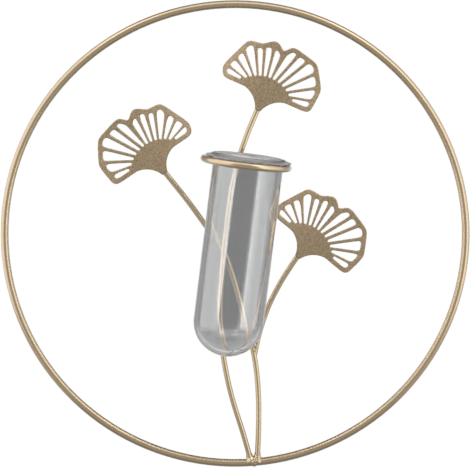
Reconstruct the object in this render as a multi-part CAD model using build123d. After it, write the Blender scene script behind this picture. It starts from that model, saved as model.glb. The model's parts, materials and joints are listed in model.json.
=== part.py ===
from build123d import *
import math
import os

# A wall vase to hang: a welded wire hoop with three pierced ginkgo leaves on wire stems, and a glass
# tube that drops into a ring. Millimetres, +Z up, -Y is the front. The origin is the point where a
# nail carries the hoop, on the inside of its top. Routes and places below are measured from the
# hoop's centre and moved down to that point when they are written.

# Hoop
HOOP_DIAMETER = 300.0
HOOP_BAR = 5.0
SEAM_GAP = 0.8
SEAM_X = 12.2

# Stems: wire, how far a spot weld presses one piece into the other, and the lap behind each leaf
STEM_WIRE = 3.5
WELD_SINK = 0.3
LEAF_LAP = 9.0
BEND_SHARE = 0.45

# Front view places (x, z) of the stems, from foot to leaf
CENTRE_FOOT_X = 10.4
CENTRE_ROUTE_LOW = [(5.5, -129.0), (-3.0, -102.5), (-8.4, -75.0), (-10.9, -47.0)]
CENTRE_ROUTE_HIGH = [(-6.4, 10.0), (-3.1, 33.0)]
CENTRE_ROUTE_TOP = [(8.8, 68.5)]
LEFT_FOOT_X = 14.2
LEFT_ROUTE_LOW = [(15.0, -130.0), (15.3, -108.0), (13.9, -86.5), (10.0, -65.5), (4.4, -44.0), (-1.8, -24.5)]
LEFT_ROUTE_HIGH = [(-19.6, 7.8), (-31.4, 24.2)]
CROSSING = (-8.3, -8.5)
BRANCH = (12.3, -77.5)
RIGHT_ROUTE = [(15.4, -62.5), (21.2, -45.0), (29.7, -28.6)]

# Leaves: base of each in the front view, lean of its axis from upright, turn about its own axis
CENTRE_LEAF_BASE = (14.1, 80.5)
CENTRE_LEAF_LEAN = 23.3
CENTRE_LEAF_TURN = 2.0
LEFT_LEAF_BASE = (-44.6, 40.4)
LEFT_LEAF_LEAN = -34.0
LEFT_LEAF_TURN = -5.0
RIGHT_LEAF_BASE = (39.7, -13.4)
RIGHT_LEAF_LEAN = 39.6
RIGHT_LEAF_TURN = 2.0
LEAF_SHEET = 1.5
LEAF_BOW = 110.0
LEAF_BASE_WIDTH = 3.8

# Outline of a leaf in (across, along) from its base: the notch between its two lobes, each lobe's corners
# from the notch to its tip with the round of each, where the straight lower edge ends, and a point of the
# hollow curve from there to the base. Across is towards the lobe itself, and for the notch towards the
# large lobe.
LEAF_NOTCH = (0.6, 40.6)
LEAF_NOTCH_ROUND = 0.8
LARGE_LOBE = [((5.2, 46.3), 2.6), ((23.3, 42.0), 4.0), ((32.0, 27.8), 3.0), ((30.9, 11.0), 3.0)]
SMALL_LOBE = [
    ((5.7, 46.4), 3.5),
    ((13.4, 40.1), 4.0),
    ((23.0, 39.0), 3.5),
    ((32.0, 17.6), 2.6),
    ((29.2, 11.2), 3.0),
]
LEAF_FLANK = (14.0, 11.0)
LEAF_HOLLOW = (5.3, 6.0)

# Slots pierced in a leaf, between a solid web, the rim and the ribs. A rib's angle from the leaf's axis is
# taken where it crosses the rib circle, and the slots' inner ends are spaced evenly, as (first, pitch).
LEAF_RIM_WIDTH = 3.0
LEAF_RIB_WIDTH = 2.0
LEAF_WEB_RADIUS = 22.0
RIB_CIRCLE_RADIUS = 36.0
SLOT_ROUND = 0.85
LARGE_RIB_ANGLES = [2.9, 12.6, 21.7, 32.6, 44.5, 57.5, 70.0]
LARGE_SLOT_ANGLES = (4.6, 9.1)
SMALL_RIB_ANGLES = [-1.0, 7.9, 16.4, 24.7, 35.3, 45.5, 57.5, 70.0]
SMALL_SLOT_ANGLES = (3.3, 7.8)

# Holder ring and glass tube: the ring leans down to the right and is welded on a straight run of the centre
# stem. The tube, square to it, has slid to its low side by a share of the clearance. Its lip, flat below and
# round above, reaches a little past the middle of the ring's wire.
RING_PLACE = (6.75, 49.2)
RING_LEAN = 7.0
RING_WIRE = 4.5
RING_CLEARANCE = 2.2
RING_WELD_OFFSET = 4.6
RING_RUN = 16.0
RING_RUN_LEAN = 18.5
TUBE_SLIDE = 0.6
TUBE_DIAMETER = 44.0
TUBE_WALL = 2.0
TUBE_BASE = 4.0
TUBE_LENGTH = 127.0
TUBE_NECK_ROUND = 2.2
LIP_OVERHANG = 0.5
LIP_HEIGHT = 2.2
LIP_EDGE = 0.5
SEAT_GAP = 0.3

# Weld beads: the feet's hollow fillet, its lowest part sunk in the bar and its hollow at a share of its leg
# and height, and the other beads by radius
FOOT_BEAD_LEG = 2.0
FOOT_BEAD_HEIGHT = 3.4
FOOT_BEAD_TOE = 0.25
FOOT_BEAD_ROOT = 1.0
FOOT_BEAD_HOLLOW = (0.25, 0.3)
SEAM_BEAD_PROUD = 0.45
RING_BEAD = 3.0
RING_BEAD_DROP = 1.2
BRANCH_BEADS = [(3.5, 2.2), (6.7, 2.4), (9.7, 2.3)]
LEAF_BEAD = 2.6
LEAF_BEAD_BACK = 0.7

# Worked out from the sizes above
hoop_radius = (HOOP_DIAMETER - HOOP_BAR) / 2
hang_height = hoop_radius - HOOP_BAR / 2
stem_radius = STEM_WIRE / 2
rear_depth = HOOP_BAR / 2 - stem_radius
front_depth = rear_depth - STEM_WIRE + WELD_SINK
leaf_depth = rear_depth - stem_radius + WELD_SINK
tube_radius = TUBE_DIAMETER / 2
bore_radius = tube_radius - TUBE_WALL
ring_radius = tube_radius + RING_CLEARANCE + RING_WIRE / 2
lip_radius = ring_radius + LIP_OVERHANG
ring_reach = ring_radius + RING_WIRE / 2 + stem_radius - WELD_SINK
leaf_length = max(along for (across, along), bend in LARGE_LOBE)
ring_depth = front_depth - math.sqrt(ring_reach**2 - RING_WELD_OFFSET**2)
ring_lean = math.radians(RING_LEAN)
ring_weld_place = (
    RING_PLACE[0] - RING_WELD_OFFSET * math.cos(ring_lean),
    RING_PLACE[1] + RING_WELD_OFFSET * math.sin(ring_lean),
)


def on_hoop(x):
    """Point of the hoop's centre line at x, in its lower half."""
    return Vector(x, 0, -math.sqrt(hoop_radius**2 - x**2))


def leaf_plane(base, lean):
    """Plane of a leaf: its own x across, y along its axis, z to the front, on the back of its sheet."""
    angle = math.radians(lean)
    return Plane(
        origin=(base[0], leaf_depth, base[1]),
        x_dir=(math.cos(angle), 0, -math.sin(angle)),
        z_dir=(0, -1, 0),
    )


def lap_run(base, lean):
    """The two ends of a stem's straight lap behind its leaf."""
    angle = math.radians(lean)
    start = Vector(base[0], rear_depth, base[1])
    return [start, start + Vector(math.sin(angle), 0, math.cos(angle)) * LEAF_LAP]


def spread(start_depth, places, end_depth):
    """Points along front view places, with the depth going evenly from start to end."""
    steps = len(places) + 1
    return [
        Vector(x, start_depth + (end_depth - start_depth) * (i + 1) / steps, z)
        for i, (x, z) in enumerate(places)
    ]


def across_at(points, level):
    """Where a stem's route crosses a level, in the front view."""
    for low, high in zip(points, points[1:]):
        if low.Z <= level <= high.Z:
            return low.X + (high.X - low.X) * (level - low.Z) / (high.Z - low.Z)
    raise ValueError("the stem does not reach this level")


def bend_radii(points):
    """The largest radius that the two runs at each corner leave room for."""
    radii = []
    for before, corner, after in zip(points, points[1:], points[2:]):
        run = min((corner - before).length, (after - corner).length)
        turn = (corner - before).get_angle(after - corner)
        radii.append(BEND_SHARE * run / math.tan(math.radians(turn) / 2))
    return radii


def bent_wire(points):
    """A round wire along straight runs joined by wide tangent bends."""
    path = FilletPolyline(*points, radius=bend_radii(points))
    section = Plane(origin=path @ 0, z_dir=path % 0) * Circle(stem_radius)
    return sweep(section, path=path)


def polar(angle, reach):
    """Leaf point at an angle from the axis and a reach from the base."""
    return Vector(reach * math.sin(math.radians(angle)), reach * math.cos(math.radians(angle)))


def leaf_blank(large_side):
    """A leaf's outline without its slots: up the large lobe's side, over the notch and down the other."""
    sides = (large_side, -large_side)
    large = [((large_side * across, along), bend) for (across, along), bend in LARGE_LOBE]
    small = [((-large_side * across, along), bend) for (across, along), bend in SMALL_LOBE]
    notch = ((large_side * LEAF_NOTCH[0], LEAF_NOTCH[1]), LEAF_NOTCH_ROUND)
    corners = [*reversed(large), notch, *small]
    feet = [(side * LEAF_BASE_WIDTH / 2, 0) for side in sides]
    hollows = [(side * LEAF_HOLLOW[0], LEAF_HOLLOW[1]) for side in sides]
    flanks = [(side * LEAF_FLANK[0], LEAF_FLANK[1]) for side in sides]
    points = [flanks[0], *[point for point, bend in corners], flanks[1]]
    edge = FilletPolyline(*points, radius=[bend for point, bend in corners])
    return make_face(
        [
            ThreePointArc(feet[0], hollows[0], flanks[0]),
            *edge.edges(),
            ThreePointArc(flanks[1], hollows[1], feet[1]),
            Line(feet[1], feet[0]),
        ]
    )


def slot_wedges(side, rib_angles, first, pitch):
    """The wedges between a lobe's ribs, from the web out past the rim, less the round of the corners."""
    half_rib = math.degrees((LEAF_RIB_WIDTH / 2 + SLOT_ROUND) / RIB_CIRCLE_RADIUS)
    wedges = []
    for index, (low, high) in enumerate(zip(rib_angles, rib_angles[1:])):
        point = polar(side * (first + pitch * index), LEAF_WEB_RADIUS + SLOT_ROUND)
        beside = [polar(side * angle, RIB_CIRCLE_RADIUS) for angle in (low + half_rib, high - half_rib)]
        past_rim = [point + (place - point).normalized() * leaf_length for place in beside]
        wedges.append(make_face(Polyline(point, *past_rim, close=True)))
    return wedges


def leaf_face(large_side):
    """Scalloped fan of two lobes, each with its fan of slots."""
    face = leaf_blank(large_side)
    inside = offset(face, amount=-LEAF_RIM_WIDTH - SLOT_ROUND)
    wedges = slot_wedges(large_side, LARGE_RIB_ANGLES, *LARGE_SLOT_ANGLES)
    wedges += slot_wedges(-large_side, SMALL_RIB_ANGLES, *SMALL_SLOT_ANGLES)
    for wedge in wedges:
        face -= offset(wedge & inside, amount=SLOT_ROUND, kind=Kind.ARC)
    return face


def leaf(base, lean, turn, large_side):
    """A leaf pressed to a shallow trough along its axis, its edges towards the front."""
    blank = extrude(leaf_face(large_side), leaf_length)
    trough = Cylinder(LEAF_BOW, 4 * leaf_length) - Cylinder(LEAF_BOW - LEAF_SHEET, 4 * leaf_length)
    sheet = blank & (Pos(0, 0, LEAF_BOW) * Rot(90, 0, 0) * trough)
    return leaf_plane(base, lean) * Rot(0, turn, 0) * sheet


def bead_at(point, radius):
    """A round bead of weld."""
    return Pos(point) * Sphere(radius)


def foot_bead(foot, direction):
    """A weld's hollow fillet round a stem where it stands on the hoop."""
    surface = HOOP_BAR / 2
    toe = stem_radius + FOOT_BEAD_TOE
    top = surface + FOOT_BEAD_HEIGHT
    hollow = (toe + FOOT_BEAD_LEG * FOOT_BEAD_HOLLOW[0], surface + FOOT_BEAD_HEIGHT * FOOT_BEAD_HOLLOW[1])
    root = (toe + FOOT_BEAD_LEG, surface - FOOT_BEAD_ROOT)
    outline = Polyline((0, 0), (0, top), (toe, top))
    outline += ThreePointArc((toe, top), hollow, root)
    outline += Polyline(root, (root[0], 0), (0, 0))
    turned = revolve(Plane.XZ * make_face(outline), Axis.Z)
    return Plane(origin=foot, z_dir=direction) * turned


# Hoop: a bar rolled to a ring, its two ends meeting between the stems' feet
seam = on_hoop(SEAM_X)
seam_plane = Plane(origin=seam, z_dir=(-seam.Z, 0, seam.X))
rolled_bar = Rot(90, 0, 0) * Torus(hoop_radius, HOOP_BAR / 2)
hoop = rolled_bar - seam_plane * Box(2 * HOOP_BAR, 2 * HOOP_BAR, SEAM_GAP)

# Leaves
centre_leaf = leaf(CENTRE_LEAF_BASE, CENTRE_LEAF_LEAN, CENTRE_LEAF_TURN, 1)
left_leaf = leaf(LEFT_LEAF_BASE, LEFT_LEAF_LEAN, LEFT_LEAF_TURN, -1)
right_leaf = leaf(RIGHT_LEAF_BASE, RIGHT_LEAF_LEAN, RIGHT_LEAF_TURN, 1)

# Stems: the centre one bows to the front over the left one and carries the ring
centre_foot = on_hoop(CENTRE_FOOT_X)
ring_run = polar(RING_RUN_LEAN, RING_RUN / 2)
ring_run_low = (ring_weld_place[0] - ring_run.X, ring_weld_place[1] - ring_run.Y)
ring_run_high = (ring_weld_place[0] + ring_run.X, ring_weld_place[1] + ring_run.Y)
centre_front = [CROSSING, *CENTRE_ROUTE_HIGH, ring_run_low, ring_run_high]
centre_points = [
    centre_foot,
    *spread(0, CENTRE_ROUTE_LOW, front_depth),
    *[Vector(x, front_depth, z) for x, z in centre_front],
    *spread(front_depth, CENTRE_ROUTE_TOP, rear_depth),
    *lap_run(CENTRE_LEAF_BASE, CENTRE_LEAF_LEAN),
]
left_foot = on_hoop(LEFT_FOOT_X)
left_points = [
    left_foot,
    *spread(0, LEFT_ROUTE_LOW, rear_depth),
    *[Vector(x, rear_depth, z) for x, z in (CROSSING, *LEFT_ROUTE_HIGH)],
    *lap_run(LEFT_LEAF_BASE, LEFT_LEAF_LEAN),
]
branch_foot = Vector(BRANCH[0], rear_depth, BRANCH[1])
right_points = [
    branch_foot,
    *[Vector(x, rear_depth, z) for x, z in RIGHT_ROUTE],
    *lap_run(RIGHT_LEAF_BASE, RIGHT_LEAF_LEAN),
]
centre_wire = bent_wire(centre_points)
left_wire = bent_wire(left_points)
right_wire = bent_wire(right_points)
centre_stem = centre_wire - rolled_bar - centre_leaf
left_stem = left_wire - rolled_bar - left_leaf - centre_wire
right_stem = right_wire - right_leaf - left_wire

# Holder ring, pressed on the front of the centre stem
ring_frame = Plane(
    origin=(RING_PLACE[0], ring_depth, RING_PLACE[1]),
    x_dir=(math.cos(ring_lean), 0, -math.sin(ring_lean)),
    z_dir=(math.sin(ring_lean), 0, math.cos(ring_lean)),
)
ring_bar = ring_frame * Torus(ring_radius, RING_WIRE / 2)
holder_ring = ring_bar - centre_wire

# Glass tube: straight bore, round bottom, and a lip that turns out over the ring
lip_under = RING_WIRE / 2 + SEAT_GAP
lip_top = lip_under + LIP_HEIGHT
lip_round = LIP_HEIGHT - LIP_EDGE
lip_middle = lip_under + LIP_EDGE
neck = lip_under - TUBE_NECK_ROUND
mouth = lip_top - TUBE_NECK_ROUND - TUBE_WALL
bottom = lip_top - TUBE_LENGTH
outer_centre = bottom + tube_radius
inner_centre = bottom + TUBE_BASE + bore_radius
neck_radius = tube_radius + TUBE_NECK_ROUND
mouth_round = TUBE_NECK_ROUND + TUBE_WALL
diagonal = math.sqrt(0.5)
glass = Line((0, bottom + TUBE_BASE), (0, bottom))
glass += ThreePointArc(
    (0, bottom), (tube_radius * diagonal, outer_centre - tube_radius * diagonal), (tube_radius, outer_centre)
)
glass += Line((tube_radius, outer_centre), (tube_radius, neck))
glass += ThreePointArc(
    (tube_radius, neck),
    (neck_radius - TUBE_NECK_ROUND * diagonal, neck + TUBE_NECK_ROUND * diagonal),
    (neck_radius, lip_under),
)
glass += Line((neck_radius, lip_under), (lip_radius - LIP_EDGE, lip_under))
glass += ThreePointArc(
    (lip_radius - LIP_EDGE, lip_under),
    (lip_radius - LIP_EDGE * (1 - diagonal), lip_middle - LIP_EDGE * diagonal),
    (lip_radius, lip_middle),
)
glass += ThreePointArc(
    (lip_radius, lip_middle),
    (lip_radius - lip_round * (1 - diagonal), lip_middle + lip_round * diagonal),
    (lip_radius - lip_round, lip_top),
)
glass += Line((lip_radius - lip_round, lip_top), (neck_radius, lip_top))
glass += ThreePointArc(
    (neck_radius, lip_top),
    (neck_radius - mouth_round * diagonal, mouth + mouth_round * diagonal),
    (bore_radius, mouth),
)
glass += Line((bore_radius, mouth), (bore_radius, inner_centre))
glass += ThreePointArc(
    (bore_radius, inner_centre),
    (bore_radius * diagonal, inner_centre - bore_radius * diagonal),
    (0, bottom + TUBE_BASE),
)
tube_place = Pos(TUBE_SLIDE * RING_CLEARANCE, 0, 0)
glass_tube = ring_frame * tube_place * revolve(Plane.XZ * make_face(glass), Axis.Z)

# Weld beads, each cut by the pieces that it joins
seam_bead = bead_at(seam, HOOP_BAR / 2 + SEAM_BEAD_PROUD)
foot_weld = foot_bead(centre_foot, centre_points[1] - centre_foot)
foot_weld += foot_bead(left_foot, left_points[1] - left_foot)
foot_weld = foot_weld + seam_bead - hoop - centre_wire - left_wire

branch_beads = []
for height, radius in BRANCH_BEADS:
    level = branch_foot.Z + height
    middle = (across_at(left_points, level) + across_at(right_points, level)) / 2
    branch_beads.append(bead_at(Vector(middle, rear_depth, level), radius))
branch_weld = Part() + branch_beads - left_wire - right_wire

ring_weld_angle = math.degrees(math.asin(RING_WELD_OFFSET / ring_reach))
ring_touch = ring_frame * Rot(0, 0, ring_weld_angle) * Pos(0, ring_radius + RING_WIRE / 2, -RING_BEAD_DROP)
ring_weld = bead_at(ring_touch.position, RING_BEAD) - ring_bar - centre_wire


def leaf_weld(base, lean, turn):
    """A bead over the stem's end on the back of its leaf."""
    lap = Pos(0, LEAF_LAP / 2, WELD_SINK - stem_radius) * Rot(90, 0, 0) * Cylinder(stem_radius, LEAF_LAP)
    front = Rot(0, turn, 0) * Pos(0, 0, LEAF_BOW) * Rot(90, 0, 0) * Cylinder(LEAF_BOW, 4 * LEAF_LAP)
    bead = Pos(0, LEAF_LAP - LEAF_BEAD_BACK, 0) * Sphere(LEAF_BEAD)
    return leaf_plane(base, lean) * (bead - front - lap)


nodes = {
    "hoop": hoop,
    "centre_stem": centre_stem,
    "left_stem": left_stem,
    "right_stem": right_stem,
    "centre_leaf": centre_leaf,
    "left_leaf": left_leaf,
    "right_leaf": right_leaf,
    "holder_ring": holder_ring,
    "glass_tube": glass_tube,
    "foot_weld": foot_weld,
    "branch_weld": branch_weld,
    "ring_weld": ring_weld,
    "centre_leaf_weld": leaf_weld(CENTRE_LEAF_BASE, CENTRE_LEAF_LEAN, CENTRE_LEAF_TURN),
    "left_leaf_weld": leaf_weld(LEFT_LEAF_BASE, LEFT_LEAF_LEAN, LEFT_LEAF_TURN),
    "right_leaf_weld": leaf_weld(RIGHT_LEAF_BASE, RIGHT_LEAF_LEAN, RIGHT_LEAF_TURN),
}

os.makedirs("parts", exist_ok=True)
for name, solid in nodes.items():
    export_step(Pos(0, 0, -hang_height) * solid, f"parts/{name}.step")
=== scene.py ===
"""Looks of a hanging wall vase under plain studio light.

Satin champagne gold paint on the wire hoop, the stems and the pierced leaves,
and a lightly smoked glass tube.
"""

import json
import math

import bmesh
import bpy
from bpy.props import FloatProperty, FloatVectorProperty, PointerProperty
from mathutils import Matrix, Vector, noise


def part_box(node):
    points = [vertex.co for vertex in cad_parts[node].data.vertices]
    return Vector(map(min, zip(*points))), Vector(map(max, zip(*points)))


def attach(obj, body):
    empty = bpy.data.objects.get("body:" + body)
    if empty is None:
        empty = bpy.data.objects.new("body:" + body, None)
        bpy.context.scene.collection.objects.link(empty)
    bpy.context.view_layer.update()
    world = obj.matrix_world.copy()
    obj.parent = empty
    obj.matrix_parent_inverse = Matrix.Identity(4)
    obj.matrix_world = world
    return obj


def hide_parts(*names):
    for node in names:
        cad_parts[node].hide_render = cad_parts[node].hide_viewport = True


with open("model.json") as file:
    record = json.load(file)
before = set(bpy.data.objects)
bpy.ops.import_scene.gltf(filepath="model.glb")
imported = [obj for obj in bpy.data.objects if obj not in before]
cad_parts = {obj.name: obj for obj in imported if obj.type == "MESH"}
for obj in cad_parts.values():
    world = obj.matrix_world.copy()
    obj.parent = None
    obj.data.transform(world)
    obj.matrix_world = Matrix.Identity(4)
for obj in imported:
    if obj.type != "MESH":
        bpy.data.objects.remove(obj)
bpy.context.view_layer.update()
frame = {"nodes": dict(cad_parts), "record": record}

bl_info = {
    "name": "Hanging wall vase",
    "version": (1, 0, 0),
    "blender": (4, 5, 0),
    "location": "View3D > Sidebar > Wall vase",
    "description": "Finishes the pieces of a hanging wall vase and sets its stage",
    "category": "Object",
}

HOOP_LOW, HOOP_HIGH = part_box("hoop")
HOOP_CENTRE = (HOOP_LOW + HOOP_HIGH) / 2

STEM_NODES = ("centre_stem", "left_stem", "right_stem")
LEAF_NODES = ("centre_leaf", "left_leaf", "right_leaf")
WELD_NODES = ("foot_weld", "branch_weld", "ring_weld", *(leaf + "_weld" for leaf in LEAF_NODES))

MM_IN_METRE = 1000
WHITE = (1, 1, 1, 1)

# Two points of a mesh closer than this are one
SAME_POINT = 1e-6

# Edges of a cut rim turn by more than this, and lie more across Y than along it
SHARP_ANGLE = math.radians(50)
UPRIGHT_SHARE = 0.8

# Two steps of one rounding pass
DRAW_IN = 0.5
LET_OUT = -0.54

# Share of the step between rim points under which two of them are joined
JOIN_SHARE = 0.7

# How far a rim point goes in one pass to the middle of its neighbours
EASE = 0.5

# Steps in the arcs of the tube's profile
ARC_STEPS = 12
LIP_STEPS = 16
BASE_STEPS = 24

# Grain and clear coat of the gold paint on each kind of piece
WIRE_FINISH = {"contrast": 0.05, "bump": 0.005, "coat": 1.0}
LEAF_FINISH = {"contrast": 0.55, "bump": 0.40, "coat": 0.5}
WELD_FINISH = {"contrast": 0.10, "bump": 0.10, "coat": 1.0}
COAT_ROUGHNESS = 0.18
COAT_IOR = 1.6

# Orange peel against the flakes: its scale, its share of the tone, and its depth as a share of a flake
PEEL_SCALE = 0.55
PEEL_SHARE = 0.45
PEEL_DEPTH = 0.25

# Drift of the paint's gloss: clouds to a metre, and the least and most share of the roughness
GLOSS_CLOUDS = 160.0
GLOSS_LOW = 0.9
GLOSS_HIGH = 1.12

# Glass: smears and ripples to a metre, the most roughness of a smear, and the ripples' strength and depth
SMEAR_CLOUDS = 45.0
SMEAR_ROUGHNESS = 0.035
RIPPLE_CLOUDS = 70.0
RIPPLE_STRENGTH = 0.008
RIPPLE_DEPTH = 0.001


class GoldPaint(bpy.types.PropertyGroup):
    """Champagne gold paint of the wire and sheet."""

    wire_colour: FloatVectorProperty(
        name="Wire colour", description="Paint on the hoop, the stems and the ring",
        subtype="COLOR", size=3, min=0, max=1, default=(0.246, 0.179, 0.097),
    )
    leaf_colour: FloatVectorProperty(
        name="Leaf colour", description="Paint on the faces of the leaves",
        subtype="COLOR", size=3, min=0, max=1, default=(0.232, 0.170, 0.099),
    )
    wire_gloss: FloatProperty(
        name="Wire roughness", description="Roughness of the paint on wire",
        subtype="FACTOR", min=0, max=1, default=0.30,
    )
    leaf_gloss: FloatProperty(
        name="Leaf roughness", description="Roughness of the paint on the leaves",
        subtype="FACTOR", min=0, max=1, default=0.40,
    )
    flake_size: FloatProperty(
        name="Flake size", description="Size of one grain of the metallic paint",
        unit="LENGTH", min=0.0001, max=0.005, default=0.0005,
    )
    face_size: FloatProperty(
        name="Face size", description="Size of one face on the leaves and the weld beads",
        unit="LENGTH", min=0.0001, max=0.001, default=0.00028,
    )
    weld_lumps: FloatProperty(
        name="Weld lumps", description="Height of the ripples on a weld bead",
        unit="LENGTH", min=0, max=0.0005, default=0.0003,
    )
    lump_size: FloatProperty(
        name="Lump size", description="Size of the ripples on a weld bead",
        unit="LENGTH", min=0.0002, max=0.005, default=0.0014,
    )


class SmokedGlass(bpy.types.PropertyGroup):
    """Glass of the tube."""

    tint: FloatVectorProperty(
        name="Tint", description="Colour that one face of the glass lets through",
        subtype="COLOR", size=3, min=0, max=1, default=(0.88, 0.885, 0.89),
    )
    ior: FloatProperty(
        name="Refraction", description="Index of refraction of the glass",
        min=1.3, max=1.8, default=1.54,
    )
    wall: FloatProperty(
        name="Wall", description="Thickness of the tube's wall",
        unit="LENGTH", min=0.001, max=0.005, default=0.002,
    )
    base: FloatProperty(
        name="Base", description="Thickness of the glass under the bore",
        unit="LENGTH", min=0.001, max=0.01, default=0.003,
    )
    lip_edge: FloatProperty(
        name="Lip edge", description="Thickness of the lip at its thin outer edge",
        unit="LENGTH", min=0.0001, max=0.002, default=0.0005,
    )
    lip_height: FloatProperty(
        name="Lip height", description="From the underside of the lip to the top of its rim",
        unit="LENGTH", min=0.0005, max=0.005, default=0.0022,
    )
    rim_round: FloatProperty(
        name="Rim", description="From the bore out to the crest of the rim",
        unit="LENGTH", min=0.0002, max=0.003, default=0.0012,
    )
    lip_grind: FloatProperty(
        name="Lip grind", description="Roughness of the finely ground lip",
        subtype="FACTOR", min=0, max=1, default=0.45,
    )


class Studio(bpy.types.PropertyGroup):
    """Camera, lights, cards and floor."""

    distance: FloatProperty(
        name="Camera distance", description="From the middle of the hoop to the camera",
        unit="LENGTH", min=0.5, max=5, default=1.4,
    )
    elevation: FloatProperty(
        name="Camera elevation", description="Angle of the camera over the middle of the hoop",
        subtype="ANGLE", min=0, max=1.5, default=math.radians(6.0),
    )
    lens: FloatProperty(
        name="Lens", description="Focal length of the camera in millimetres",
        min=20, max=400, default=167.63,
    )
    floor_drop: FloatProperty(
        name="Floor below the hoop", description="From the hoop's foot down to the floor",
        unit="LENGTH", min=0.01, max=3, default=0.35,
    )
    ambient: FloatProperty(
        name="Room light", description="Brightness of the room away from the lamps",
        min=0, max=2, default=0.40,
    )
    sweep: FloatProperty(
        name="Sweep", description="Brightness of the grey sweep behind the tube, seen through the glass",
        min=0, max=1, default=0.12,
    )
    sweep_foot: FloatProperty(
        name="Sweep foot", description="Brightness of the sweep where it lies on the floor",
        min=0, max=1, default=0.54,
    )
    sweep_sides: FloatProperty(
        name="Sweep sides", description="Brightness of the sweep at its left and right ends",
        min=0, max=1, default=0.50,
    )
    low_card: FloatProperty(
        name="Low card", description="Brightness of the grey card below, seen in the metal",
        min=0, max=1, default=0.65,
    )
    high_card: FloatProperty(
        name="High card", description="Brightness of the grey card above and behind, seen in the metal",
        min=0, max=1, default=0.45,
    )


class WallVase(bpy.types.PropertyGroup):
    """All settings of the vase."""

    gold: PointerProperty(name="Gold paint", description="Paint of the metal", type=GoldPaint)
    glass: PointerProperty(name="Glass", description="Glass of the tube", type=SmokedGlass)
    studio: PointerProperty(name="Studio", description="Stage round the vase", type=Studio)


# Node helpers

# Sockets of a Mix node: its two floats, its two colours, and the mixed colour
MIX_FLOATS = (2, 3)
MIX_COLOURS = (6, 7)
MIXED_COLOUR = 2


def add_node(tree, kind, **values):
    """A new node with its settings."""
    node = tree.nodes.new(kind)
    for name, value in values.items():
        setattr(node, name, value)
    return node


def set_inputs(node, **values):
    """Sets a node's plain inputs by their names, with _ for a space."""
    for name, value in values.items():
        node.inputs[name.replace("_", " ")].default_value = value


def new_group(name, inputs, outputs):
    """A shader group with its sockets and nothing between them, and its input and output nodes."""
    group = bpy.data.node_groups.new(name, "ShaderNodeTree")
    for label, kind in inputs:
        group.interface.new_socket(label, in_out="INPUT", socket_type=kind)
    for label, kind in outputs:
        group.interface.new_socket(label, in_out="OUTPUT", socket_type=kind)
    return group, add_node(group, "NodeGroupInput"), add_node(group, "NodeGroupOutput")


def flake_grain():
    """Grain of metallic paint: a tone for each flake, and the height of the orange peel over them."""
    name = "Flake grain"
    if name in bpy.data.node_groups:
        return bpy.data.node_groups[name]
    group, given, put = new_group(
        name,
        [("Vector", "NodeSocketVector"), ("Flakes", "NodeSocketFloat")],
        [("Tone", "NodeSocketFloat"), ("Height", "NodeSocketFloat")],
    )
    flakes = add_node(group, "ShaderNodeTexVoronoi", feature="F1")
    split = add_node(group, "ShaderNodeSeparateColor")
    peel = add_node(group, "ShaderNodeTexNoise")
    set_inputs(peel, Detail=3.0, Roughness=0.6)
    peel_scale = add_node(group, "ShaderNodeMath", operation="MULTIPLY")
    peel_scale.inputs[1].default_value = PEEL_SCALE
    blend = add_node(group, "ShaderNodeMix", data_type="FLOAT")
    blend.inputs[0].default_value = PEEL_SHARE
    links = group.links
    links.new(given.outputs["Vector"], flakes.inputs["Vector"])
    links.new(given.outputs["Flakes"], flakes.inputs["Scale"])
    links.new(given.outputs["Flakes"], peel_scale.inputs[0])
    links.new(given.outputs["Vector"], peel.inputs["Vector"])
    links.new(peel_scale.outputs[0], peel.inputs["Scale"])
    links.new(flakes.outputs["Color"], split.inputs[0])
    links.new(split.outputs[0], blend.inputs[MIX_FLOATS[0]])
    links.new(peel.outputs["Fac"], blend.inputs[MIX_FLOATS[1]])
    links.new(blend.outputs[0], put.inputs["Tone"])
    links.new(peel.outputs["Fac"], put.inputs["Height"])
    return group


def soft_cloud():
    """Slow drift over a surface, for paint that lies thicker in places and for smears on glass."""
    name = "Soft cloud"
    if name in bpy.data.node_groups:
        return bpy.data.node_groups[name]
    group, given, put = new_group(
        name,
        [("Vector", "NodeSocketVector"), ("Scale", "NodeSocketFloat"), ("Low", "NodeSocketFloat"),
         ("High", "NodeSocketFloat")],
        [("Value", "NodeSocketFloat")],
    )
    cloud = add_node(group, "ShaderNodeTexNoise")
    set_inputs(cloud, Detail=2.0, Roughness=0.5)
    spread = add_node(group, "ShaderNodeMapRange")
    set_inputs(spread, From_Min=0.3, From_Max=0.7)
    links = group.links
    links.new(given.outputs["Vector"], cloud.inputs["Vector"])
    links.new(given.outputs["Scale"], cloud.inputs["Scale"])
    links.new(cloud.outputs["Fac"], spread.inputs["Value"])
    links.new(given.outputs["Low"], spread.inputs["To Min"])
    links.new(given.outputs["High"], spread.inputs["To Max"])
    links.new(spread.outputs["Result"], put.inputs["Value"])
    return group


def place_group(tree, group, **values):
    """A group in a material, with its own values."""
    node = add_node(tree, "ShaderNodeGroup", node_tree=group)
    set_inputs(node, **values)
    return node


def new_material(name):
    """A material with one Principled shader."""
    material = bpy.data.materials.new(name)
    material.use_nodes = True
    tree = material.node_tree
    tree.nodes.clear()
    shader = add_node(tree, "ShaderNodeBsdfPrincipled")
    output = add_node(tree, "ShaderNodeOutputMaterial")
    tree.links.new(shader.outputs["BSDF"], output.inputs["Surface"])
    return material, tree, shader


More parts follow.
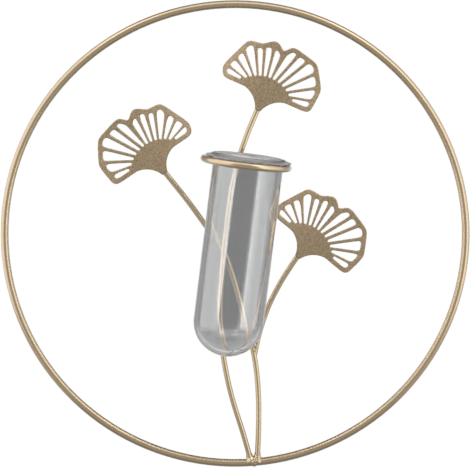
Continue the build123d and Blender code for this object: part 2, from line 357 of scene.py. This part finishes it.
def gold_paint(name, colour, roughness, flake_size, contrast, bump, coat):
    """Metallic paint: flakes of uneven tone, a slow drift of gloss, a fine orange peel and a clear coat."""
    if name in bpy.data.materials:
        return bpy.data.materials[name]
    material, tree, shader = new_material(name)
    links = tree.links
    where = add_node(tree, "ShaderNodeTexCoord")
    grain = place_group(tree, flake_grain(), Flakes=1 / flake_size)
    gloss = place_group(
        tree, soft_cloud(), Scale=GLOSS_CLOUDS, Low=roughness * GLOSS_LOW, High=roughness * GLOSS_HIGH,
    )
    tone = add_node(tree, "ShaderNodeMix", data_type="RGBA")
    dark, light = (tone.inputs[socket] for socket in MIX_COLOURS)
    dark.default_value = (*(value * (1 - contrast) for value in colour), 1)
    light.default_value = (*(min(1, value * (1 + contrast)) for value in colour), 1)
    relief = add_node(tree, "ShaderNodeBump")
    set_inputs(relief, Strength=bump, Distance=flake_size * PEEL_DEPTH)
    links.new(where.outputs["Object"], grain.inputs["Vector"])
    links.new(where.outputs["Object"], gloss.inputs["Vector"])
    links.new(grain.outputs["Tone"], tone.inputs[0])
    links.new(tone.outputs[MIXED_COLOUR], shader.inputs["Base Color"])
    links.new(gloss.outputs["Value"], shader.inputs["Roughness"])
    links.new(grain.outputs["Height"], relief.inputs["Height"])
    links.new(relief.outputs["Normal"], shader.inputs["Normal"])
    set_inputs(shader, Metallic=1.0, Coat_Weight=coat, Coat_Roughness=COAT_ROUGHNESS, Coat_IOR=COAT_IOR)
    return material


def smoked_glass(settings, axis, lip_start, lip_end):
    """Polished glass with a grey tint and faint smears, finely ground at the lip.

    The ground band lies between two heights along the tube's axis.
    """
    material, tree, shader = new_material("smoked glass")
    links = tree.links
    where = add_node(tree, "ShaderNodeTexCoord")
    smears = place_group(tree, soft_cloud(), Scale=SMEAR_CLOUDS, Low=0.0, High=SMEAR_ROUGHNESS)
    ripples = place_group(tree, soft_cloud(), Scale=RIPPLE_CLOUDS, Low=0.0, High=1.0)
    relief = add_node(tree, "ShaderNodeBump")
    set_inputs(relief, Strength=RIPPLE_STRENGTH, Distance=RIPPLE_DEPTH)
    along = add_node(tree, "ShaderNodeVectorMath", operation="DOT_PRODUCT")
    along.inputs[1].default_value = axis
    ground = add_node(tree, "ShaderNodeMapRange", interpolation_type="SMOOTHSTEP")
    set_inputs(ground, From_Min=lip_start, From_Max=lip_end, To_Min=0.0, To_Max=settings.lip_grind)
    matt = add_node(tree, "ShaderNodeMath", operation="ADD")
    links.new(where.outputs["Object"], smears.inputs["Vector"])
    links.new(where.outputs["Object"], ripples.inputs["Vector"])
    links.new(where.outputs["Object"], along.inputs[0])
    links.new(along.outputs["Value"], ground.inputs["Value"])
    links.new(smears.outputs["Value"], matt.inputs[0])
    links.new(ground.outputs["Result"], matt.inputs[1])
    links.new(matt.outputs[0], shader.inputs["Roughness"])
    links.new(ripples.outputs["Value"], relief.inputs["Height"])
    links.new(relief.outputs["Normal"], shader.inputs["Normal"])
    set_inputs(shader, Base_Color=(*settings.tint, 1), IOR=settings.ior, Transmission_Weight=1.0)
    return material


def wire_paint(settings):
    """Paint of the hoop, the stems and the ring."""
    return gold_paint(
        "wire gold", settings.wire_colour, settings.wire_gloss, settings.flake_size, **WIRE_FINISH,
    )


def leaf_paint(settings):
    """Paint of the leaves, with a coarser grain."""
    return gold_paint(
        "leaf gold", settings.leaf_colour, settings.leaf_gloss, settings.flake_size, **LEAF_FINISH,
    )


def weld_paint(settings):
    """Paint over the weld beads."""
    return gold_paint(
        "weld gold", settings.wire_colour, settings.wire_gloss, settings.flake_size, **WELD_FINISH,
    )


# Meshes

def paint(piece, material):
    """Gives a piece one material."""
    piece.data.materials.clear()
    piece.data.materials.append(material)


def merged_copy(node):
    """A bmesh of a piece's solid with its loose triangles joined."""
    bm = bmesh.new()
    bm.from_mesh(frame["nodes"][node].data)
    bmesh.ops.remove_doubles(bm, verts=bm.verts, dist=SAME_POINT)
    return bm


def dressed(bm, name, node, material, body="frame"):
    """Makes a bmesh the piece that shows in place of a node, smooth and on the node's body."""
    mesh = bpy.data.meshes.new(name)
    bm.to_mesh(mesh)
    bm.free()
    for polygon in mesh.polygons:
        polygon.use_smooth = True
    piece = bpy.data.objects.new(name, mesh)
    bpy.context.scene.collection.objects.link(piece)
    paint(piece, material)
    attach(piece, body)
    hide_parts(node)


def cut_rims(bm):
    """Edges where a sheet's faces meet its cut sides, which stand along Y."""
    return [
        edge for edge in bm.edges
        if edge.calc_face_angle(0) > SHARP_ANGLE
        and abs(edge.verts[0].co.y - edge.verts[1].co.y) < UPRIGHT_SHARE * edge.calc_length()
    ]


def rim_neighbours(bm):
    """Each point of a sheet's cut rims with the points next to it on its rim."""
    neighbours = {}
    for edge in cut_rims(bm):
        for vert in edge.verts:
            neighbours.setdefault(vert, []).append(edge.other_vert(vert))
    return neighbours


def outer_rims(neighbours):
    """Points of the two longest rims, which are the outlines of a sheet's front and back."""
    rims = []
    left = dict.fromkeys(neighbours)
    while left:
        rim = [left.popitem()[0]]
        for vert in rim:
            fresh = [end for end in neighbours[vert] if end in left]
            for end in fresh:
                del left[end]
            rim += fresh
        rims.append(rim)
    rims.sort(key=len)
    return {vert for rim in rims[-2:] for vert in rim}


def relax(verts, neighbours, passes, root=None):
    """Eases rim points to the middle of their neighbours, and with a root only towards that root."""
    for turn in range(passes):
        places = []
        for vert in verts:
            ends = neighbours[vert]
            place = vert.co.lerp((ends[0].co + ends[1].co) / 2, EASE)
            outward = root is not None and (place - vert.co).dot(vert.co - root) > 0
            places.append(vert.co.copy() if outward else place)
        for vert, place in zip(verts, places):
            vert.co = place


def round_corners(bm, root, inner, step, passes, outline_passes):
    """Rounds the corners of a pierced sheet's rims, past a share of the reach from its root.

    Points are first set about a step apart. Straight stretches stay as they are. So do the notches of the
    outline in the second part, which rounds only the corners that stand out.
    """
    bmesh.ops.remove_doubles(bm, verts=bm.verts, dist=step * JOIN_SHARE)
    cuts = {}
    for edge in cut_rims(bm):
        cuts.setdefault(int(edge.calc_length() / step), []).append(edge)
    for count, edges in cuts.items():
        if count:
            bmesh.ops.subdivide_edges(bm, edges=edges, cuts=count)
    neighbours = rim_neighbours(bm)
    reach = max((vert.co - root).length for vert in neighbours)
    loose = [
        vert for vert, ends in neighbours.items()
        if len(ends) == 2 and (vert.co - root).length > inner * reach
    ]
    outline = outer_rims(neighbours)
    relax(loose, neighbours, passes)
    relax([vert for vert in loose if vert in outline], neighbours, outline_passes, root)


def evened(bm, size):
    """The same shape with faces of one even size, which takes the place of the solid's long thin ones."""
    mesh = bpy.data.meshes.new("blank")
    bm.to_mesh(mesh)
    bm.free()
    blank = bpy.data.objects.new("blank", mesh)
    bpy.context.scene.collection.objects.link(blank)
    remesh = blank.modifiers.new("even faces", "REMESH")
    remesh.mode = "VOXEL"
    remesh.voxel_size = size
    even = bmesh.new()
    even.from_mesh(blank.evaluated_get(bpy.context.evaluated_depsgraph_get()).data)
    bpy.data.objects.remove(blank)
    bpy.data.meshes.remove(mesh)
    return even


def soften(bm, passes):
    """Rounds the corners of a shape with even faces.

    Each pass draws the shape in and lets it out again, so that thin ribs stay thick.
    """
    for turn in range(passes):
        for factor in (DRAW_IN, LET_OUT):
            bmesh.ops.smooth_vert(
                bm, verts=bm.verts, factor=factor, use_axis_x=True, use_axis_y=True, use_axis_z=True,
            )


def ripple(bm, height, size, low, high):
    """Lumps on a weld bead: moves its points along their normals, inside the bead's own box."""
    bm.normal_update()
    for vert in bm.verts:
        place = vert.co + vert.normal * height * noise.noise(vert.co / size)
        vert.co = [min(max(value, least), most) for value, least, most in zip(place, low, high)]


def quarter(centre, width, height, start, end, steps=ARC_STEPS):
    """Points of an elliptical arc in a profile, between two angles in quarter turns."""
    turns = [(start + (end - start) * step / steps) * math.pi / 2 for step in range(steps + 1)]
    return [(centre[0] + width * math.cos(turn), centre[1] + height * math.sin(turn)) for turn in turns]


def tube_profile(glass, bore, reach, bottom, top):
    """Outline of the glass on one side of its axis, from the outside of the base to the inside."""
    outside = bore + glass.wall
    under = top - glass.lip_height
    neck = glass.wall
    crest = bore + glass.rim_round
    edge = glass.lip_edge / 2
    slope = reach - edge - crest
    mouth = under - neck
    points = quarter((0, bottom + outside), outside, outside, -1, 0, BASE_STEPS)
    points += quarter((outside + neck, mouth), -neck, neck, 0, 1)
    points += quarter((reach - edge, under + edge), edge, edge, -1, 1)
    for step in range(1, LIP_STEPS + 1):
        rise = (1 - math.cos(math.pi * step / LIP_STEPS)) / 2
        radius = reach - edge - slope * step / LIP_STEPS
        points.append((radius, under + 2 * edge + (top - under - 2 * edge) * rise))
    points += quarter((crest, mouth), -glass.rim_round, top - mouth, 1, 0)[1:]
    points += quarter((0, bottom + glass.base + bore), bore, bore, 0, -1, BASE_STEPS)
    return points


def lathe(points, turns):
    """A bmesh of a closed outline spun once round the Z axis."""
    bm = bmesh.new()
    verts = [bm.verts.new((radius, 0, height)) for radius, height in points]
    edges = [bm.edges.new(pair) for pair in zip(verts, verts[1:])]
    bmesh.ops.spin(
        bm, geom=verts + edges, cent=(0, 0, 0), axis=(0, 0, 1), angle=2 * math.pi, steps=turns,
        use_merge=True,
    )
    bmesh.ops.remove_doubles(bm, verts=bm.verts, dist=SAME_POINT)
    bmesh.ops.recalc_face_normals(bm, faces=bm.faces)
    return bm


# Operators

class VASE_OT_hoop(bpy.types.Operator):
    """Paint the rolled hoop"""

    bl_idname = "wall_vase.hoop"
    bl_label = "Hoop"

    def execute(self, context):
        paint(frame["nodes"]["hoop"], wire_paint(context.scene.wall_vase.gold))
        return {"FINISHED"}


class VASE_OT_stems(bpy.types.Operator):
    """Paint the three wire stems"""

    bl_idname = "wall_vase.stems"
    bl_label = "Stems"

    def execute(self, context):
        for node in STEM_NODES:
            paint(frame["nodes"][node], wire_paint(context.scene.wall_vase.gold))
        return {"FINISHED"}


class VASE_OT_holder_ring(bpy.types.Operator):
    """Paint the ring that holds the tube"""

    bl_idname = "wall_vase.holder_ring"
    bl_label = "Holder ring"

    def execute(self, context):
        paint(frame["nodes"]["holder_ring"], wire_paint(context.scene.wall_vase.gold))
        return {"FINISHED"}


class VASE_OT_leaves(bpy.types.Operator):
    """Round the corners and rims of the pierced leaves and paint them"""

    bl_idname = "wall_vase.leaves"
    bl_label = "Leaves"
    passes = 10

    # Corners past this share of a leaf's reach are rounded, on points about a step apart
    corner_start = 0.62
    corner_step = 0.0004
    corner_passes = 22
    outline_passes = 70

    def execute(self, context):
        gold = context.scene.wall_vase.gold
        for node in LEAF_NODES:
            bm = merged_copy(node)
            weld_low, weld_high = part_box(node + "_weld")
            round_corners(
                bm, (weld_low + weld_high) / 2, self.corner_start, self.corner_step, self.corner_passes,
                self.outline_passes,
            )
            bm = evened(bm, gold.face_size)
            soften(bm, self.passes)
            dressed(bm, "painted_" + node, node, leaf_paint(gold))
        return {"FINISHED"}


class VASE_OT_welds(bpy.types.Operator):
    """Ripple the weld beads and paint them"""

    bl_idname = "wall_vase.welds"
    bl_label = "Welds"
    passes = 4

    def execute(self, context):
        gold = context.scene.wall_vase.gold
        for node in WELD_NODES:
            bm = evened(merged_copy(node), gold.face_size)
            soften(bm, self.passes)
            ripple(bm, gold.weld_lumps, gold.lump_size, *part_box(node))
            dressed(bm, "painted_" + node, node, weld_paint(gold))
        return {"FINISHED"}


class VASE_OT_glass_tube(bpy.types.Operator):
    """Turn the glass tube with its soft lip"""

    bl_idname = "wall_vase.glass_tube"
    bl_label = "Glass tube"
    turns = 128

    # The ground band fades out over this many walls below the lip
    ground_walls = 2

    def execute(self, context):
        glass = context.scene.wall_vase.glass
        mount = next(mount for mount in frame["record"]["mounts"] if mount["name"] == "tube_bore")
        centre, axis = Vector(mount["pos_m"]), Vector(mount["axis"])
        bore = mount["dims"]["r_mm"] / MM_IN_METRE
        places = [vert.co - centre for vert in frame["nodes"]["glass_tube"].data.vertices]
        heights = [place.dot(axis) for place in places]
        reach = max((place - axis * height).length for place, height in zip(places, heights))
        bm = lathe(tube_profile(glass, bore, reach, min(heights), max(heights)), self.turns)
        lean = Matrix.Translation(centre) @ axis.to_track_quat("Z", "Y").to_matrix().to_4x4()
        bmesh.ops.transform(bm, matrix=lean, verts=bm.verts)
        lip_end = centre.dot(axis) + max(heights) - glass.lip_height
        material = smoked_glass(glass, axis, lip_end - self.ground_walls * glass.wall, lip_end)
        dressed(bm, "turned_glass_tube", "glass_tube", material, "tube")
        return {"FINISHED"}


# Stage

# Angles in degrees, lengths in metres
LAMPS = {
    "left softbox": {
        "azimuth": -74, "elevation": 9, "distance": 1.0, "width": 1.6, "height": 2.7,
        "radiance": 1.9, "near_gain": 1.05, "far_gain": 1.0, "foot": 0.1,
    },
    "right softbox": {
        "azimuth": 74, "elevation": 9, "distance": 1.0, "width": 1.6, "height": 2.7,
        "radiance": 1.55, "near_gain": 2.5, "far_gain": 0.4, "foot": 0.1,
    },
    "top softbox": {
        "azimuth": 0, "elevation": 58, "distance": 1.2, "width": 1.6, "height": 0.8,
        "radiance": 2.2, "near_gain": 1.0, "far_gain": 1.0, "foot": 0.3,
    },
}

# Cards that show only in the metal, placed from the hoop's middle
CARDS = {
    "low_card": {"width": 0.7, "length": 0.8, "offset": (0, 0, -0.4), "tilt": 0},
    "high_card": {"width": 1.6, "length": 0.8, "offset": (0, 0.55, 0.55), "tilt": -math.pi / 4},
}

# Paper that shows only through the glass, and the height and the widths over which its grey changes
SWEEP_SHAPE = {"width": 3.0, "front": -1.2, "back": 0.7, "bend": 0.3, "height": 1.5}
SWEEP_SHADE = {"fade": 0.35, "middle": 0.35, "side": 0.9}
SWEEP_STEPS = 12

# Floor: its paint in shadow, and the glow that keeps it white in view
FLOOR_GREY = (0.9, 0.9, 0.9, 1)
FLOOR_ROUGHNESS = 0.8
FLOOR_GLOW = 1.1
GLOW_SHARE = 0.8

SEEN_RAYS = ("Is Camera Ray", "Is Glossy Ray", "Is Transmission Ray")


def seen_mask(tree):
    """1 where the camera, a reflection or glass looks, and 0 for the light that falls on the object."""
    path = add_node(tree, "ShaderNodeLightPath")
    mask = path.outputs[SEEN_RAYS[0]]
    for name in SEEN_RAYS[1:]:
        largest = add_node(tree, "ShaderNodeMath", operation="MAXIMUM")
        tree.links.new(mask, largest.inputs[0])
        tree.links.new(path.outputs[name], largest.inputs[1])
        mask = largest.outputs[0]
    return mask


def light_room(ambient):
    """A white background that also shows in metal and glass, and a softer level as the room's light."""
    world = bpy.data.worlds.new("white room")
    bpy.context.scene.world = world
    world.use_nodes = True
    tree = world.node_tree
    tree.nodes.clear()
    room = add_node(tree, "ShaderNodeBackground")
    set_inputs(room, Color=WHITE, Strength=ambient)
    white = add_node(tree, "ShaderNodeBackground")
    set_inputs(white, Color=WHITE, Strength=1.0)
    mix = add_node(tree, "ShaderNodeMixShader")
    output = add_node(tree, "ShaderNodeOutputWorld")
    tree.links.new(seen_mask(tree), mix.inputs[0])
    tree.links.new(room.outputs[0], mix.inputs[1])
    tree.links.new(white.outputs[0], mix.inputs[2])
    tree.links.new(mix.outputs[0], output.inputs["Surface"])


def softbox(name, azimuth, elevation, distance, width, height, radiance, near_gain, far_gain, foot):
    """A rectangular lamp that looks at the hoop, with its own brightness near and far from the camera.

    Azimuth 0 is at the camera and grows to the right. The gains hold at the two upright edges. Foot is the
    share of the height over which the light fades in.
    """
    lamp = bpy.data.lights.new(name, "AREA")
    lamp.shape = "RECTANGLE"
    lamp.size, lamp.size_y = width, height
    lamp.energy = radiance * math.pi * width * height
    box = bpy.data.objects.new(name, lamp)
    turn, rise = math.radians(azimuth), math.radians(elevation)
    away = Vector((math.sin(turn) * math.cos(rise), -math.cos(turn) * math.cos(rise), math.sin(rise)))
    box.location = HOOP_CENTRE + away * distance
    box.rotation_euler = away.to_track_quat("Z", "Y").to_euler()
    box.visible_camera = False
    bpy.context.scene.collection.objects.link(box)
    lamp.use_nodes = True
    tree = lamp.node_tree
    tree.nodes.clear()
    near, middle, far = (0, 0.5, 1) if azimuth > 0 else (1, 0.5, 0)
    spot = add_node(tree, "ShaderNodeNewGeometry")
    axes = add_node(tree, "ShaderNodeSeparateXYZ")
    across = add_node(tree, "ShaderNodeMapRange", interpolation_type="SMOOTHSTEP")
    set_inputs(across, From_Min=near, From_Max=middle, To_Min=near_gain, To_Max=1.0)
    beyond = add_node(tree, "ShaderNodeMapRange", interpolation_type="SMOOTHSTEP")
    set_inputs(beyond, From_Min=middle, From_Max=far, To_Min=1.0, To_Max=far_gain)
    upward = add_node(tree, "ShaderNodeMapRange", interpolation_type="SMOOTHSTEP")
    set_inputs(upward, From_Min=0.0, From_Max=foot)
    sides = add_node(tree, "ShaderNodeMath", operation="MULTIPLY")
    strength = add_node(tree, "ShaderNodeMath", operation="MULTIPLY")
    glow = add_node(tree, "ShaderNodeEmission")
    output = add_node(tree, "ShaderNodeOutputLight")
    links = tree.links
    links.new(spot.outputs["Parametric"], axes.inputs[0])
    links.new(axes.outputs[0], across.inputs["Value"])
    links.new(axes.outputs[0], beyond.inputs["Value"])
    links.new(axes.outputs[1], upward.inputs["Value"])
    links.new(across.outputs["Result"], sides.inputs[0])
    links.new(beyond.outputs["Result"], sides.inputs[1])
    links.new(sides.outputs[0], strength.inputs[0])
    links.new(upward.outputs["Result"], strength.inputs[1])
    links.new(strength.outputs[0], glow.inputs["Strength"])
    links.new(glow.outputs[0], output.inputs["Surface"])


def stage_piece(name, bm, material):
    """A piece of the stage from a bmesh."""
    mesh = bpy.data.meshes.new(name)
    bm.to_mesh(mesh)
    bm.free()
    piece = bpy.data.objects.new(name, mesh)
    bpy.context.scene.collection.objects.link(piece)
    paint(piece, material)
    return piece


def flat_sheet(width, length, centre, tilt):
    """A bmesh of a rectangle about a point, turned about X by a tilt."""
    bm = bmesh.new()
    bmesh.ops.create_grid(bm, x_segments=1, y_segments=1, size=1)
    bmesh.ops.scale(bm, vec=(width / 2, length / 2, 1), verts=bm.verts)
    bmesh.ops.rotate(bm, cent=(0, 0, 0), matrix=Matrix.Rotation(tilt, 3, "X"), verts=bm.verts)
    bmesh.ops.translate(bm, vec=centre, verts=bm.verts)
    return bm


def verts_of(parts):
    """The points among the parts of a bmesh."""
    return [part for part in parts if isinstance(part, bmesh.types.BMVert)]


def edges_of(parts):
    """The edges among the parts of a bmesh."""
    return [part for part in parts if isinstance(part, bmesh.types.BMEdge)]


def paper_sweep(width, front, back, bend, height, level):
    """A bmesh of a paper sweep: flat from the front, then bent up behind."""
    bm = bmesh.new()
    ends = [bm.verts.new((side * width / 2, front, level)) for side in (-1, 1)]
    edge = bm.edges.new(ends)
    flat = bmesh.ops.extrude_edge_only(bm, edges=[edge])["geom"]
    bmesh.ops.translate(bm, vec=(0, back - bend - front, 0), verts=verts_of(flat))
    curve = bmesh.ops.spin(
        bm, geom=edges_of(flat), cent=(0, back - bend, level + bend), axis=(1, 0, 0), angle=math.pi / 2,
        steps=SWEEP_STEPS, use_merge=False,
    )["geom_last"]
    upright = bmesh.ops.extrude_edge_only(bm, edges=edges_of(curve))["geom"]
    bmesh.ops.translate(bm, vec=(0, 0, height), verts=verts_of(upright))
    return bm


def show_only(piece, glossy=False, transmission=False):
    """Hides a piece of the stage from all but reflections or glass."""
    piece.visible_camera = False
    piece.visible_diffuse = False
    piece.visible_shadow = False
    piece.visible_glossy = glossy
    piece.visible_transmission = transmission


def floor_paint():
    """White paint that stays white in view, and still takes the object's shadow."""
    material, tree, shader = new_material("floor white")
    set_inputs(shader, Base_Color=FLOOR_GREY, Roughness=FLOOR_ROUGHNESS)
    glow = add_node(tree, "ShaderNodeEmission")
    set_inputs(glow, Color=WHITE, Strength=FLOOR_GLOW)
    share = add_node(tree, "ShaderNodeMath", operation="MULTIPLY")
    share.inputs[1].default_value = GLOW_SHARE
    mix = add_node(tree, "ShaderNodeMixShader")
    output = next(node for node in tree.nodes if node.bl_idname == "ShaderNodeOutputMaterial")
    tree.links.new(seen_mask(tree), share.inputs[0])
    tree.links.new(share.outputs[0], mix.inputs[0])
    tree.links.new(shader.outputs[0], mix.inputs[1])
    tree.links.new(glow.outputs[0], mix.inputs[2])
    tree.links.new(mix.outputs[0], output.inputs["Surface"])
    return material


def card_paint(name, level):
    """A card of even grey."""
    material = bpy.data.materials.new(name)
    material.use_nodes = True
    tree = material.node_tree
    tree.nodes.clear()
    glow = add_node(tree, "ShaderNodeEmission")
    set_inputs(glow, Color=WHITE, Strength=level)
    output = add_node(tree, "ShaderNodeOutputMaterial")
    tree.links.new(glow.outputs[0], output.inputs["Surface"])
    return material


def sweep_paint(studio, foot, fade, middle, side):
    """Grey paper that is lighter on the floor and towards its ends than behind the tube."""
    material = card_paint("sweep grey", studio.sweep)
    tree = material.node_tree
    glow = next(node for node in tree.nodes if node.bl_idname == "ShaderNodeEmission")
    where = add_node(tree, "ShaderNodeTexCoord")
    axes = add_node(tree, "ShaderNodeSeparateXYZ")
    upward = add_node(tree, "ShaderNodeMapRange", interpolation_type="SMOOTHSTEP")
    set_inputs(upward, From_Min=foot, From_Max=foot + fade, To_Min=studio.sweep_foot, To_Max=studio.sweep)
    offset = add_node(tree, "ShaderNodeMath", operation="ABSOLUTE")
    outward = add_node(tree, "ShaderNodeMapRange", interpolation_type="SMOOTHSTEP")
    set_inputs(outward, From_Min=middle, From_Max=side, To_Min=studio.sweep, To_Max=studio.sweep_sides)
    level = add_node(tree, "ShaderNodeMath", operation="MAXIMUM")
    links = tree.links
    links.new(where.outputs["Object"], axes.inputs[0])
    links.new(axes.outputs[2], upward.inputs["Value"])
    links.new(axes.outputs[0], offset.inputs[0])
    links.new(offset.outputs[0], outward.inputs["Value"])
    links.new(upward.outputs["Result"], level.inputs[0])
    links.new(outward.outputs["Result"], level.inputs[1])
    links.new(level.outputs[0], glow.inputs["Strength"])
    return material


class VASE_OT_stage(bpy.types.Operator):
    """Set the camera, the lamps, the floor, the paper sweep and the cards"""

    bl_idname = "wall_vase.stage"
    bl_label = "Stage"

    # The photo's frame sits a little off the hoop's centre
    aim_shift = Vector((-0.00014, 0, 0.00070))
    floor_size = 2.4

    def execute(self, context):
        studio = context.scene.wall_vase.studio
        context.scene.view_settings.view_transform = "Standard"
        light_room(studio.ambient)
        for name, values in LAMPS.items():
            softbox(name, **values)

        floor_level = HOOP_LOW.z - studio.floor_drop
        floor_centre = Vector((HOOP_CENTRE.x, 0, floor_level))
        stage_piece("floor", flat_sheet(self.floor_size, self.floor_size, floor_centre, 0), floor_paint())
        sweep = stage_piece(
            "grey_sweep",
            paper_sweep(level=floor_level, **SWEEP_SHAPE),
            sweep_paint(studio, floor_level, **SWEEP_SHADE),
        )
        show_only(sweep, transmission=True)
        card_levels = {"low_card": studio.low_card, "high_card": studio.high_card}
        for name, card in CARDS.items():
            place = HOOP_CENTRE + Vector(card["offset"])
            sheet = flat_sheet(card["width"], card["length"], place, card["tilt"])
            grey = card_paint(name.replace("_", " ") + " grey", card_levels[name])
            show_only(stage_piece(name, sheet, grey), glossy=True)

        camera = bpy.data.objects.new("camera", bpy.data.cameras.new("camera"))
        away = Vector((0, -math.cos(studio.elevation), math.sin(studio.elevation)))
        camera.location = HOOP_CENTRE + self.aim_shift + away * studio.distance
        camera.rotation_euler = away.to_track_quat("Z", "Y").to_euler()
        camera.data.lens = studio.lens
        context.scene.collection.objects.link(camera)
        context.scene.camera = camera
        return {"FINISHED"}


OPERATORS = (
    VASE_OT_hoop, VASE_OT_stems, VASE_OT_holder_ring, VASE_OT_leaves, VASE_OT_welds, VASE_OT_glass_tube,
    VASE_OT_stage,
)


class VASE_PT_panel(bpy.types.Panel):
    """Lists the steps that finish the vase"""

    bl_idname = "VASE_PT_panel"
    bl_label = "Wall vase"
    bl_space_type = "VIEW_3D"
    bl_region_type = "UI"
    bl_category = "Wall vase"

    def draw(self, context):
        for operator in OPERATORS:
            self.layout.operator(operator.bl_idname)


CLASSES = (GoldPaint, SmokedGlass, Studio, WallVase, *OPERATORS, VASE_PT_panel)


def register():
    for cls in CLASSES:
        bpy.utils.register_class(cls)
    bpy.types.Scene.wall_vase = PointerProperty(type=WallVase)


def unregister():
    del bpy.types.Scene.wall_vase
    for cls in reversed(CLASSES):
        bpy.utils.unregister_class(cls)


def main():
    register()
    bpy.ops.wall_vase.hoop()
    bpy.ops.wall_vase.stems()
    bpy.ops.wall_vase.holder_ring()
    bpy.ops.wall_vase.leaves()
    bpy.ops.wall_vase.welds()
    bpy.ops.wall_vase.glass_tube()
    bpy.ops.wall_vase.stage()


if __name__ == "__main__":
    main()
